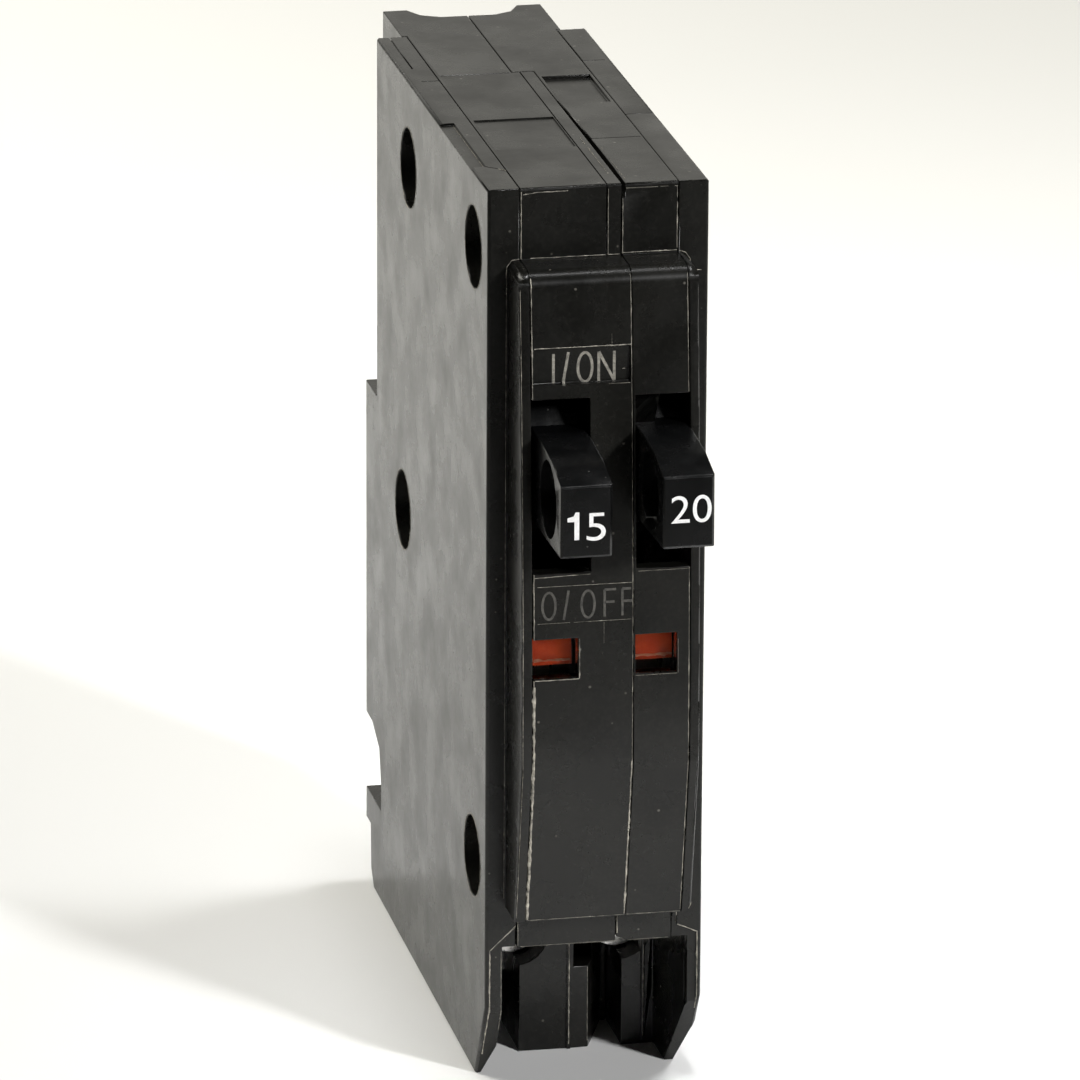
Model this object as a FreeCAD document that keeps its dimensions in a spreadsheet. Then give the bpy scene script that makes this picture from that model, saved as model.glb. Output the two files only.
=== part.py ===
"""Tandem plug-in circuit breaker: two single-pole switches in one narrow moulded case.

Frame: +X to the right, +Y to the back, +Z up.  The handles face -Y.  The origin is the middle of
the bottom of the whole breaker's box.  Most pieces are drawn from the front face of the case, so
a depth of 0 is that face, and each sub-part's Placement carries it to its place in the frame.
"""
import FreeCAD, Part
import Sketcher
import os

V = FreeCAD.Vector
doc = FreeCAD.newDocument("TandemBreaker")

# ---------------------------------------------------------------------------------------------
# Driving dimensions, in millimetres and degrees
# ---------------------------------------------------------------------------------------------
DIMENSIONS = [
    # the case as a whole
    ("case_height", 79.0), ("half_width", 9.3), ("front_y", -21.6), ("wall", 1.4), ("seam_gap", 0.08),
    ("seam_left", -6.6), ("seam_right", 6.7), ("cover_inner", 7.9),
    ("partition_left", 0.73), ("partition_right", 1.92), ("split_depth", 36.3), ("skin", 0.6),
    ("back_depth", 49.7), ("shoulder_depth", 54.9), ("shoulder_z", 46.5), ("housing_depth", 58.7),
    ("housing_half", 7.05), ("chin_depth", 4.5), ("chin_z", 7.4), ("edge_round", 0.3),
    # hook and notch that take the mounting rail
    ("foot_depth", 52.6), ("foot_z", 5.7), ("hook_depth", 54.7), ("hook_top_z", 8.6),
    ("notch_depth", 47.6), ("notch_z", 11.0), ("notch_top_z", 15.7),
    # the raised nose that carries the handles
    ("nose_half", 7.55), ("nose_top_z", 72.9), ("nose_bottom_z", 16.4), ("nose_round", 0.2),
    ("nose_corner", 0.85),
    # terminal end
    ("lip_z", 12.75), ("prong_inner", 7.76), ("block_left", -4.6), ("block_right", 4.3),
    ("block_depth", 8.8), ("funnel_depth", 17.4), ("screw_z", 10.5), ("access_radius", 2.6),
    ("terminal_a_x", -4.75), ("terminal_b_x", 4.35),
    # handles
    ("pole_a_x", -4.09), ("pole_b_x", 4.42), ("handle_depth", 5.0), ("handle_z", 55.4),
    ("handle_width", 4.3), ("drum_radius", 8.3), ("trunnion_radius", 1.5), ("running_gap", 0.05),
    ("slot_low_z", 47.6), ("slot_high_z", 62.3), ("slot_a_right", -1.69), ("slot_b_left", 2.12),
    ("trunnion_left_end", -8.6), ("trunnion_right_end", 8.6), ("tilt_b", -1.0),
    ("trunnion_a_inner", 1.03), ("trunnion_b_inner", 1.62),
    # windows, lenses and flags
    ("window_low_z", 38.55), ("window_high_z", 41.95), ("window_a_right", -2.75), ("window_b_left", 2.06),
    ("window_b_right", 5.6), ("lens_front", -5.85), ("lens_back", -4.95),
    ("flag_depth", 8.0), ("flag_z", 39.0), ("flag_radius", 12.2), ("flag_pin_radius", 0.6),
    # rivets
    ("rivet_hole_radius", 3.45), ("rivet_sink", 2.0), ("rivet_shank", 1.6), ("rivet_head", 2.9),
    ("rivet_boss", 4.3), ("rivet_post", 2.6),
    # contact arm, trip lever and armature
    ("arm_depth", 14.5), ("arm_z", 58.0), ("arm_open", 12.0), ("arm_half", 1.3), ("pin_radius", 0.9),
    ("lever_depth", 31.5), ("lever_z", 47.0), ("lever_half", 0.6),
    ("armature_depth", 18.4), ("armature_z", 38.5), ("armature_half", 1.2), ("armature_pin", 0.5),
    # line side
    ("contact_depth", 25.0), ("contact_radius", 1.4), ("contact_thick", 1.2), ("bus_z", 75.9),
    ("bus_thick", 1.0), ("jaw_low_z", 50.0), ("jaw_high_z", 72.0),
    # load side
    ("collar_front", 15.6), ("collar_half", 2.3), ("collar_low_z", 5.0), ("collar_high_z", 15.0),
    ("screw_head", 2.45), ("screw_shank", 1.7), ("screw_front", 11.5),
]

sheet = doc.addObject("Spreadsheet::Sheet", "Dims")
for row, (alias, number) in enumerate(DIMENSIONS, start=1):
    sheet.set("A%d" % row, alias)
    sheet.set("B%d" % row, str(number))
    sheet.setAlias("B%d" % row, alias)
doc.recompute()
probe = doc.addObject("App::FeaturePython", "Probe")


def bound(text):
    """An expression in which @name stands for a cell of the sheet."""
    return str(text).replace("@", "Dims.")


def amount(text):
    """The present number of an expression."""
    return float(probe.evalExpression(bound(text)))


# ---------------------------------------------------------------------------------------------
# Drawing helpers
# ---------------------------------------------------------------------------------------------
START, END, CENTRE = 1, 2, 3        # how a sketch names the points of an edge
PLANE_OF_AXIS = {"X": "YZ_Plane", "Y": "XZ_Plane", "Z": "XY_Plane"}


def new_body(label, x="0", y="@front_y", z="0", tilt=None):
    """A body whose Placement puts its own zero at the given place; tilt turns it about X."""
    body = doc.addObject("PartDesign::Body", label)
    body.Label = label
    body.setExpression("Placement.Base.x", bound(x))
    body.setExpression("Placement.Base.y", bound(y))
    body.setExpression("Placement.Base.z", bound(z))
    if tilt is not None:
        body.Placement.Rotation = FreeCAD.Rotation(V(1, 0, 0), amount(tilt))
        body.setExpression("Placement.Rotation.Angle", bound(tilt))
    return body


def new_sketch(body, axis, offset):
    """A sketch square to an axis, moved along that axis by the offset."""
    sketch = body.newObject("Sketcher::SketchObject", body.Label + "_sketch")
    plane = next(f for f in body.Origin.OriginFeatures if f.Role == PLANE_OF_AXIS[axis])
    sketch.AttachmentSupport = [(plane, "")]
    sketch.MapMode = "FlatFace"
    sign = "-1" if axis == "Y" else "1"
    sketch.setExpression("AttachmentOffset.Base.z", "%s * (%s)" % (sign, bound(offset)))
    return sketch


def fix_point(sketch, geometry, end, across, up):
    """Hold one end of an edge at its two distances from the sketch's origin."""
    for kind, text in (("DistanceX", across), ("DistanceY", up)):
        index = sketch.addConstraint(Sketcher.Constraint(kind, -1, 1, geometry, end, amount(text)))
        if "@" in str(text):
            sketch.setExpression("Constraints[%d]" % index, bound(text))


def draw_outline(sketch, outline):
    """A closed outline.  A point of four values is reached by an anticlockwise arc through its
    last two."""
    points = [V(amount(p[0]), amount(p[1]), 0) for p in outline]
    for number, point in enumerate(outline):
        start, end = points[number - 1], points[number]
        if len(point) == 4:
            arc = Part.Arc(start, V(amount(point[2]), amount(point[3]), 0), end)
            geometry = sketch.addGeometry(arc, False)
            radius = sketch.Geometry[geometry].Radius
            sketch.addConstraint(Sketcher.Constraint("Radius", geometry, radius))
        else:
            geometry = sketch.addGeometry(Part.LineSegment(start, end), False)
        fix_point(sketch, geometry, END, point[0], point[1])
        if number == 0:
            first = geometry
        else:
            sketch.addConstraint(Sketcher.Constraint("Coincident", geometry - 1, END, geometry, START))
    sketch.addConstraint(Sketcher.Constraint("Coincident", geometry, END, first, START))


def draw_circle(sketch, across, up, radius):
    circle = Part.Circle(V(amount(across), amount(up), 0), V(0, 0, 1), amount(radius))
    geometry = sketch.addGeometry(circle, False)
    fix_point(sketch, geometry, CENTRE, across, up)
    index = sketch.addConstraint(Sketcher.Constraint("Radius", geometry, amount(radius)))
    if "@" in str(radius):
        sketch.setExpression("Constraints[%d]" % index, bound(radius))


def rectangle(low_a, low_b, high_a, high_b):
    return [(low_a, low_b), (high_a, low_b), (high_a, high_b), (low_a, high_b)]


def sweep(body, kind, axis, low, high, outline, circle=None):
    """Pad or pocket an outline (or circles) along an axis, from low to high."""
    before = body.Shape.Volume if body.Tip else 0.0
    sketch = new_sketch(body, axis, low)
    for shape in ([outline] if outline else []):
        draw_outline(sketch, shape)
    for ring in (circle or []):
        draw_circle(sketch, *ring)
    feature = body.newObject("PartDesign::" + kind, body.Label + "_" + kind.lower())
    feature.Profile = sketch
    feature.setExpression("Length", "(%s) - (%s)" % (bound(high), bound(low)))
    toward_low = axis == "Y"
    feature.Reversed = toward_low if kind == "Pad" else not toward_low
    sketch.Visibility = False
    doc.recompute()
    change = body.Shape.Volume - before
    if (change <= 1e-6) if kind == "Pad" else (change >= -1e-6):
        raise ValueError("%s: %s from %s to %s changed the volume by %.4f"
                         % (body.Label, kind, low, high, change))
    return feature


def pad(body, axis, low, high, outline):
    return sweep(body, "Pad", axis, low, high, outline)


def cut(body, axis, low, high, outline):
    return sweep(body, "Pocket", axis, low, high, outline)


def pad_round(body, axis, low, high, *circles):
    return sweep(body, "Pad", axis, low, high, None, circles)


def cut_round(body, axis, low, high, *circles):
    return sweep(body, "Pocket", axis, low, high, None, circles)


def soften(body, kind, size, wanted):
    """Fillet or chamfer the edges of the tip for which wanted(edge) is true."""
    base = body.Tip
    names = ["Edge%d" % (n + 1) for n, edge in enumerate(base.Shape.Edges) if wanted(edge)]
    if not names:
        raise ValueError(body.Label + ": no edge to soften")
    feature = body.newObject("PartDesign::" + kind, body.Label + "_" + kind.lower())
    feature.Base = (base, names)
    feature.setExpression("Radius" if kind == "Fillet" else "Size", bound(size))
    doc.recompute()
    return feature


def on_plane(edge, coordinate, place, tolerance=1e-4):
    """True when every point of the edge lies on a plane square to a coordinate."""
    count = 5
    low, high = edge.ParameterRange
    points = [edge.valueAt(low + (high - low) * n / (count - 1)) for n in range(count)]
    return all(abs(getattr(point, coordinate) - place) < tolerance for point in points)


# ---------------------------------------------------------------------------------------------
# The moulded case: two covers and two pole cases
# ---------------------------------------------------------------------------------------------
SIDE_PROFILE = [
    ("0", "@case_height"), ("0", "@chin_z"), ("@chin_depth", "0"), ("50.9", "0"),
    ("@foot_depth - 0.2", "1.7"), ("@foot_depth", "@foot_z"), ("@hook_depth", "@foot_z"),
    ("@hook_depth", "@hook_top_z"), ("@notch_depth", "@hook_top_z"), ("@notch_depth", "@notch_z"),
    ("48.5", "14.2"), ("51.9", "@notch_top_z - 0.1"), ("@shoulder_depth", "@notch_top_z"),
    ("@shoulder_depth", "@shoulder_z"), ("@back_depth", "@shoulder_z"), ("@back_depth", "@case_height"),
]
FRONT_PROFILE = [
    ("0", "@case_height"), ("0", "@chin_z"), ("@chin_depth", "0"), ("@split_depth", "0"),
    ("@split_depth", "@case_height"),
]
NOSE_PROFILE = [
    ("1.0", "@nose_bottom_z"), ("1.0", "@nose_top_z"), ("-2.9", "@nose_top_z"),
    ("-4.2", "@nose_top_z - 1.4", "-3.85", "@nose_top_z - 0.42"),
    ("-6.3", "30.7", "-5.78", "51.1"), ("-3.7", "@nose_bottom_z"),
]
# the hollow behind the front: mechanism space, with the inside of the nose
FRONT_HOLLOW = [
    ("@wall", "@case_height - @wall"), ("35.6", "@case_height - @wall"), ("35.6", "@wall"),
    ("25.7", "@wall"), ("25.7", "17.5"), ("@wall", "17.5"), ("-2.2", "17.9"), ("-4.85", "31"),
    ("-4.85", "38"), ("-4.3", "50"), ("-2.7", "71.5"), ("@wall", "71.5"),
]
REAR_HOLLOW = [
    ("36.9", "45"), ("53.5", "45"), ("53.5", "17.1"), ("50.2", "17.1"), ("46.2", "14.2"),
    ("46.2", "@wall"), ("36.9", "@wall"),
]
COVER_HOLLOW = [
    ("@wall", "@case_height - @wall"), ("48.2", "@case_height - @wall"), ("48.2", "45"), ("53.5", "45"),
    ("53.5", "17.1"), ("50.2", "17.1"), ("46.2", "14.2"), ("46.2", "@wall"), ("25.7", "@wall"),
    ("25.7", "17.5"), ("@wall", "17.5"),
]
TERMINAL_HOLLOW = [
    ("@funnel_depth", "-1"), ("24.3", "-1"), ("24.3", "18"), ("21.4", "18"), ("21.4", "16"),
    ("15.3", "16"), ("15.3", "4.8"), ("@funnel_depth", "4.8"),
]
BARRIER_BLOCK = [
    ("@block_depth", "0"), ("@funnel_depth", "0"), ("@funnel_depth", "4.75"), ("15.2", "4.75"),
    ("15.2", "@lip_z - 0.08"), ("@block_depth", "@lip_z - 0.08"),
]
CHIN_CORNER = [("-1", "-1"), ("@chin_depth", "-1"), ("@chin_depth", "0"), ("0", "@chin_z"), ("-1", "@chin_z")]
TERMINAL_SLOT = [
    ("-1", "-1"), ("24.3", "-1"), ("24.3", "18"), ("21.4", "18"), ("21.4", "16"), ("8", "16"),
    ("8", "@lip_z"), ("-1", "@lip_z"),
]
RIVETS = [(34.8, 71.4), (6.05, 72.5), (37.2, 40.0), (5.75, 19.2)]
HOUSING = rectangle("36", "@shoulder_z", "@housing_depth", "@case_height")
HOUSING_RECESS = [
    ("-4.9", "60"), ("-4.9", "@housing_depth"), ("-4.0", "@housing_depth - 1.9"),
    ("-2.4", "@housing_depth - 2.8"), ("2.4", "@housing_depth - 2.8"),
    ("4.0", "@housing_depth - 1.9"), ("4.9", "@housing_depth"), ("4.9", "60"),
]
HOUSING_CHEEK = rectangle("@back_depth + 0.1", "@shoulder_z", "@housing_depth", "@case_height")


def rivet_circles(radius):
    return [(str(depth), str(height), radius) for depth, height in RIVETS]


def round_outer_face(body, place, size="@edge_round"):
    """Round the long straight edges round a cover's outer face."""
    soften(body, "Fillet", size, lambda edge: on_plane(edge, "x", place) and edge.Length > 8)


def cover_holes(body, low_to_floor, floor_to_seam):
    """Sunk rivet holes through a cover: the wide hole, then the hole for the shank."""
    cut_round(body, "X", low_to_floor[0], low_to_floor[1], *rivet_circles("@rivet_hole_radius"))
    cut_round(body, "X", floor_to_seam[0], floor_to_seam[1], *rivet_circles("@rivet_shank + 0.05"))


def round_nose_corner(body, side, end):
    """Round one corner of the nose as seen from the front.  Side is -1 or 1 for left or right,
    end is -1 or 1 for the foot or the top."""
    radius = amount("@nose_corner")
    edge_x = side * amount("@nose_half")
    edge_z = amount("@nose_top_z") if end > 0 else amount("@nose_bottom_z")
    middle_x, middle_z = edge_x - side * radius, edge_z - end * radius
    outer_x, outer_z = edge_x + side, edge_z + end
    on_arc = (middle_x + side * radius / 2 ** 0.5, middle_z + end * radius / 2 ** 0.5)
    outside = [(edge_x, middle_z), (outer_x, middle_z), (outer_x, outer_z), (middle_x, outer_z),
               (middle_x, edge_z)]
    if side == end:
        outside.reverse()
    outline = [outside[0] + on_arc] + outside[1:]
    cut(body, "Y", "-8", "0", [tuple(str(value) for value in point) for point in outline])


def pivot_holes(body, low, high, gap="0.03"):
    """Blind holes for the four steel pins of a pole, in one wall."""
    cut_round(body, "X", low, high,
              ("@arm_depth", "@arm_z", "@pin_radius + " + gap),
              ("@lever_depth", "@lever_z", "@pin_radius + " + gap),
              ("@armature_depth", "@armature_z", "@armature_pin + " + gap),
              ("@flag_depth", "@flag_z", "@flag_pin_radius + " + gap))


def make_left_cover():
    body = new_body("left_cover")
    pad(body, "X", "-@half_width", "@seam_left - @seam_gap / 2", SIDE_PROFILE)
    round_outer_face(body, -amount("@half_width"))
    pad(body, "X", "-@nose_half", "@seam_left - @seam_gap / 2", NOSE_PROFILE)
    soften(body, "Fillet", "@nose_round",
           lambda edge: on_plane(edge, "x", -amount("@nose_half")) and edge.Length > 10
           and edge.CenterOfMass.y < -3)
    round_nose_corner(body, -1, 1)
    cut(body, "X", "-@cover_inner", "0", COVER_HOLLOW)
    pad_round(body, "X", "-@cover_inner - 0.2", "@seam_left - @seam_gap / 2",
              *rivet_circles("@rivet_boss"))
    cut(body, "X", "-@prong_inner", "0", TERMINAL_SLOT)
    cover_holes(body, ("-@half_width - 1", "-@half_width + @rivet_sink"), ("-@half_width", "0"))
    cut_round(body, "X", "@trunnion_left_end - 0.1", "0",
              ("@handle_depth", "@handle_z", "@trunnion_radius + @running_gap"))
    pivot_holes(body, "@trunnion_left_end - 0.1", "0")
    # shallow step that leads from the front face down to the prong
    cut(body, "Y", "-1", "0.35", [("-6", "14.7"), ("-6.65", "14.7"), ("-8.85", "12.5"),
                                  ("-8.85", "-1"), ("-6", "-1")])
    # the prong's inner foot is bevelled
    cut(body, "Y", "-1", "9", [("-7", "-1"), ("-8.75", "-1"), ("-8.75", "0"), ("-7.7", "3.2"), ("-7", "3.2")])
    # inlaid strip and the short joint lines on the top
    cut(body, "Z", "@case_height - 0.2", "@case_height + 1",
        [("-9.5", "7.1"), ("-8.18", "7.1"), ("-6.45", "5.5"), ("-6", "5.5"), ("-6", "5.62"),
         ("-6.4", "5.62"), ("-8.05", "7.2"), ("-8.05", "21"), ("-9.5", "21")])
    cut(body, "Z", "@case_height - 0.25", "@case_height + 1", rectangle("-8.25", "38.9", "-8.1", "50"))
    cut(body, "Z", "@case_height - 0.25", "@case_height + 1", rectangle("-8.2", "34.6", "-6", "34.75"))
    return body


def make_right_cover():
    body = new_body("right_cover")
    pad(body, "X", "@seam_right + @seam_gap / 2", "@half_width", SIDE_PROFILE)
    round_outer_face(body, amount("@half_width"))
    pad(body, "X", "@seam_right + @seam_gap / 2", "@nose_half", NOSE_PROFILE)
    soften(body, "Fillet", "@nose_round",
           lambda edge: on_plane(edge, "x", amount("@nose_half")) and edge.Length > 10
           and edge.CenterOfMass.y < -3)
    round_nose_corner(body, 1, 1)
    round_nose_corner(body, 1, -1)
    cut(body, "X", "0", "@cover_inner", COVER_HOLLOW)
    pad_round(body, "X", "@seam_right + @seam_gap / 2", "@cover_inner + 0.2",
              *rivet_circles("@rivet_boss"))
    cut(body, "X", "0", "@prong_inner + 0.4", rectangle("-1", "-1", "@block_depth", "@lip_z"))
    cut(body, "X", "0", "@cover_inner", TERMINAL_HOLLOW)
    pad(body, "X", "@block_right", "@seam_right + 0.5", BARRIER_BLOCK)
    cut_round(body, "Y", "@block_depth - 1", "15.4", ("@terminal_b_x", "@screw_z", "@access_radius"))
    # rib down the barrier
    pad(body, "Z", "0.4", "@screw_z - 1", rectangle("6.0", "@block_depth - 0.3", "6.3", "@block_depth + 1"))
    # the prong leans inward at its foot, under the same chin as the rest
    pad(body, "Y", "0.35", "@block_depth + 0.1", [("@prong_inner + 0.6", "0"), ("@prong_inner + 0.6", "6.5"),
                                                  ("@prong_inner + 0.3", "6.5"), ("7.15", "0")])
    pad(body, "Z", "0", "@lip_z - 0.1", [("@prong_inner + 0.6", "1.5"), ("@prong_inner + 0.6", "@block_depth + 0.1"),
                                         ("7.05", "@block_depth + 0.1"), ("@prong_inner + 0.35", "1.5")])
    cut(body, "X", "6", "10", CHIN_CORNER)
    cover_holes(body, ("@half_width - @rivet_sink", "@half_width + 1"), ("0", "@half_width"))
    cut_round(body, "X", "0", "@trunnion_right_end + 0.1",
              ("@handle_depth", "@handle_z", "@trunnion_radius + @running_gap"))
    pivot_holes(body, "0", "@trunnion_right_end + 0.1")
    cut(body, "Y", "-1", "0.35", [("6", "14.7"), ("7.2", "14.7"), ("7.2", "13.9"), ("8.9", "13.1"),
                                  ("8.9", "-1"), ("6", "-1")])
    # the prong's outer foot is bevelled
    cut(body, "Y", "-1", "9", [("10", "-1"), ("7.95", "-1"), ("7.95", "0"), ("@half_width", "4.6"), ("10", "4.6")])
    # joint lines on the top
    cut(body, "Z", "@case_height - 0.25", "@case_height + 1", rectangle("6", "38.9", "8.7", "39.05"))
    cut(body, "Z", "@case_height - 0.25", "@case_height + 1", rectangle("6", "21.1", "9.4", "21.25"))
    return body


def make_pole_a_case():
    body = new_body("pole_a_case")
    left, right = "@seam_left + @seam_gap / 2", "@partition_right - @seam_gap / 2"
    pad(body, "X", left, "-@seam_gap / 2", SIDE_PROFILE)
    pad(body, "X", "-1", right, FRONT_PROFILE)
    pad(body, "X", left, "-@seam_gap / 2", HOUSING)
    pad(body, "X", "-@housing_half", "-@seam_gap / 2", HOUSING_CHEEK)
    pad(body, "X", left, right, NOSE_PROFILE)
    cut(body, "X", "@seam_left - 1", "@partition_left", FRONT_HOLLOW)
    cut(body, "X", "@seam_left - 1", "-@skin", REAR_HOLLOW)
    cut(body, "X", "@seam_left - 1", "@partition_left", TERMINAL_HOLLOW)
    cut(body, "X", "@seam_left - 1", "@partition_right + 1", rectangle("-1", "-1", "@block_depth", "@lip_z"))
    cut(body, "X", "@seam_left - 1", "@block_left", rectangle("-1", "-1", "@funnel_depth + 1", "@lip_z"))
    pad_round(body, "X", left, "-@seam_gap / 2", *rivet_circles("@rivet_post"))
    front_posts = [post for post in rivet_circles("@rivet_post") if float(post[0]) < 30]
    pad_round(body, "X", "-1", "@partition_left + 0.2", *front_posts)
    cut_round(body, "X", "@seam_left - 1", "@partition_right + 1", *rivet_circles("@rivet_shank + 0.05"))
    # the partition's front runs back on a slant, and is one side of the other pole's funnel
    cut(body, "Z", "-1", "@lip_z", [("1.42", "8"), ("3", "8"), ("3", "12.93"), ("1.42", "@block_depth")])
    pad(body, "Z", "0", "@lip_z", [("1.5", "9.01"), ("3.75", "14.9"), ("4.22", "14.9"), ("4.22", "15.2"),
                                   ("1.5", "15.2")])
    pad(body, "Z", "0", "4.7", [("1.5", "15.1"), ("3.83", "15.1"), ("4.2", "16.06"), ("4.2", "@funnel_depth"),
                                ("1.5", "@funnel_depth")])
    cut_round(body, "Y", "@block_depth - 1", "15.4", ("@terminal_b_x", "@screw_z", "@access_radius"))
    # handle slot, window and the seat of its lens
    cut(body, "X", "@seam_left - 1", "@slot_a_right", rectangle("-8", "@slot_low_z", "2", "@slot_high_z"))
    cut(body, "X", "@seam_left - 1", "@window_a_right", rectangle("-8", "@window_low_z", "2", "@window_high_z"))
    # screwdriver way and the space beside the barrier
    cut_round(body, "Y", "@block_depth - 1", "15.4", ("@terminal_a_x", "@screw_z", "@access_radius"))
    cut(body, "Y", "@block_depth - 1", "15", rectangle("0.15", "7.4", "2", "@lip_z"))
    pad(body, "Z", "0", "@lip_z", rectangle("-0.45", "@block_depth - 0.25", "-0.15", "@block_depth + 1"))
    # handle trunnion and pivot pins in the partition
    cut_round(body, "X", "0", "@trunnion_a_inner + 0.1",
              ("@handle_depth", "@handle_z", "@trunnion_radius + @running_gap"))
    cut_round(body, "X", "@trunnion_b_inner - 0.1", "3",
              ("@handle_depth", "@handle_z", "@trunnion_radius + @running_gap"))
    pivot_holes(body, "0", "@trunnion_a_inner + 0.1")
    pivot_holes(body, "@trunnion_b_inner - 0.1", "3")
    # line side: space for the jaw, its mouth, and the strap above
    cut(body, "Z", "@jaw_low_z - 0.5", "@jaw_high_z + 0.5", rectangle("-2.9", "42", "1", "60"))
    cut(body, "Z", "@jaw_high_z", "77.2", rectangle("-2.9", "42", "1", "45"))
    cut(body, "Z", "75.6", "77.2", rectangle("-6", "35", "1", "45"))
    cut(body, "Z", "@shoulder_z - 1", "@case_height + 1", HOUSING_RECESS)
    # joint lines, sunk panel and strip lines on the top and the upper front
    top = ("@case_height - 0.25", "@case_height + 1")
    cut(body, "Z", top[0], top[1], rectangle("-6.3", "36.1", "-0.2", "36.3"))
    cut(body, "Z", "@case_height - 0.12", top[1], rectangle("-6.3", "12.0", "0.55", "21.5"))
    cut(body, "Z", top[0], top[1], rectangle("0.62", "-1", "0.74", "36.3"))
    cut(body, "Y", "-1", "0.25", rectangle("0.62", "@nose_top_z", "0.74", "@case_height + 1"))
    # sunk label fields above and below the handle
    cut(body, "Y", "-8", "-4.42", rectangle("-6.45", "63.5", "1.75", "66.6"))
    soften(body, "Fillet", "0.25", lambda edge: on_plane(edge, "z", amount("@case_height"))
           and on_plane(edge, "y", 0) and edge.Length > 1)
    return body


def make_pole_b_case():
    body = new_body("pole_b_case")
    left, right = "@partition_right + @seam_gap / 2", "@seam_right - @seam_gap / 2"
    pad(body, "X", left, right, SIDE_PROFILE)
    pad(body, "X", left, right, HOUSING)
    cut(body, "X", "0", "@seam_right + 1", FRONT_HOLLOW)
    cut(body, "X", "0", "@seam_right + 1", REAR_HOLLOW)
    rear_block = [("@split_depth + @seam_gap", "0"), ("50.9", "0")] + SIDE_PROFILE[4:14] + [
        ("@housing_depth", "@shoulder_z"), ("@housing_depth", "@case_height"),
        ("@split_depth + @seam_gap", "@case_height")]
    pad(body, "X", "@seam_gap / 2", "@partition_right + @seam_gap", rear_block)
    cut(body, "X", "@skin", "@seam_right + 1", REAR_HOLLOW)
    pad(body, "X", "@seam_gap / 2", "@housing_half", HOUSING_CHEEK)
    pad(body, "X", left, right, NOSE_PROFILE)
    cut(body, "X", "0", "@seam_right + 1", FRONT_HOLLOW)
    cut(body, "X", "0", "@seam_right + 1", rectangle("-1", "-1", "@funnel_depth + 1", "@lip_z"))
    cut(body, "X", "0", "@seam_right + 1", TERMINAL_HOLLOW)
    pad_round(body, "X", left, right, *rivet_circles("@rivet_post"))
    pad(body, "X", left, right, rectangle("4.5", "72", "7.6", "@case_height - 1"))
    cut_round(body, "X", "0", "@seam_right + 1", *rivet_circles("@rivet_shank + 0.05"))
    cut(body, "X", "@slot_b_left", "@seam_right + 1", rectangle("-8", "@slot_low_z", "2", "@slot_high_z"))
    cut(body, "X", "@window_b_left", "@window_b_right",
        rectangle("-8", "@window_low_z", "2", "@window_high_z"))
    cut_round(body, "Y", "@block_depth - 1", "15.4", ("@terminal_b_x", "@screw_z", "@access_radius"))
    cut(body, "Z", "@jaw_low_z - 0.5", "@jaw_high_z + 0.5", rectangle("-1", "42", "2.9", "60"))
    cut(body, "Z", "@jaw_high_z", "77.2", rectangle("-1", "42", "2.9", "45"))
    cut(body, "Z", "75.6", "77.2", rectangle("-1", "35", "6", "45"))
    cut(body, "Z", "@shoulder_z - 1", "@case_height + 1", HOUSING_RECESS)
    # the lip's corner beside the other pole
    cut(body, "Y", "-1", "1.6", [("1.8", "12.6"), ("3.1", "12.6"), ("3.1", "@lip_z + 0.01"), ("1.8", "13.2")])
    # open joint beside the partition, sunk panel and joint lines on the top
    cut(body, "Z", "@case_height - 1.2", "@case_height + 1",
        [("1.5", "-1"), ("2.2", "-1"), ("2.32", "5"), ("2.32", "11.5"), ("2.0", "26.4"), ("1.5", "26.4")])
    cut(body, "Z", "@case_height - 0.3", "@case_height + 1", rectangle("2.2", "25.4", "6.4", "34.5"))
    cut(body, "Z", "@case_height - 0.25", "@case_height + 1", rectangle("2.2", "14.0", "6.5", "14.15"))
    soften(body, "Fillet", "0.25", lambda edge: on_plane(edge, "z", amount("@case_height"))
           and on_plane(edge, "y", 0) and edge.Length > 1)
    return body


def make_rivets():
    """Four tubular rivets: a flat head on the left, a rolled end on the right."""
    rivets = doc.addObject("Part::Feature", "case_rivets")
    rivets.Label = "case_rivets"
    floor = amount("@half_width - @rivet_sink")
    head, shank = amount("@rivet_head"), amount("@rivet_shank")
    head_thick, rolled, bore = 0.5, 0.3, 0.9
    half_section = [
        V(-floor - head_thick, 0, 0), V(-floor - head_thick, 0, head - 0.25), V(-floor - 0.2, 0, head),
        V(-floor, 0, head), V(-floor, 0, shank), V(floor, 0, shank), V(floor, 0, head - rolled),
        V(floor + 0.35, 0, head - rolled), V(floor + head_thick, 0, head - 0.8),
        V(floor + head_thick, 0, bore), V(floor - 2.5, 0, bore), V(floor - 3.0, 0, 0),
    ]
    face = Part.Face(Part.makePolygon(half_section + half_section[:1]))
    solids = []
    for depth, height in RIVETS:
        solid = face.revolve(V(0, 0, 0), V(1, 0, 0), 360)
        solid.translate(V(0, depth, height))
        solids.append(solid)
    rivets.Shape = Part.makeCompound(solids)
    rivets.Placement = FreeCAD.Placement(V(0, amount("@front_y"), 0), FreeCAD.Rotation())
    return rivets


# ---------------------------------------------------------------------------------------------
# Line side: jaw, its spring and the strap that feeds both fixed contacts
# ---------------------------------------------------------------------------------------------
def mirrored(half):
    """A closed outline from its right half, drawn from the middle outward and back in."""
    return half + [("-(%s)" % across, up) for across, up in reversed(half)]


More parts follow.
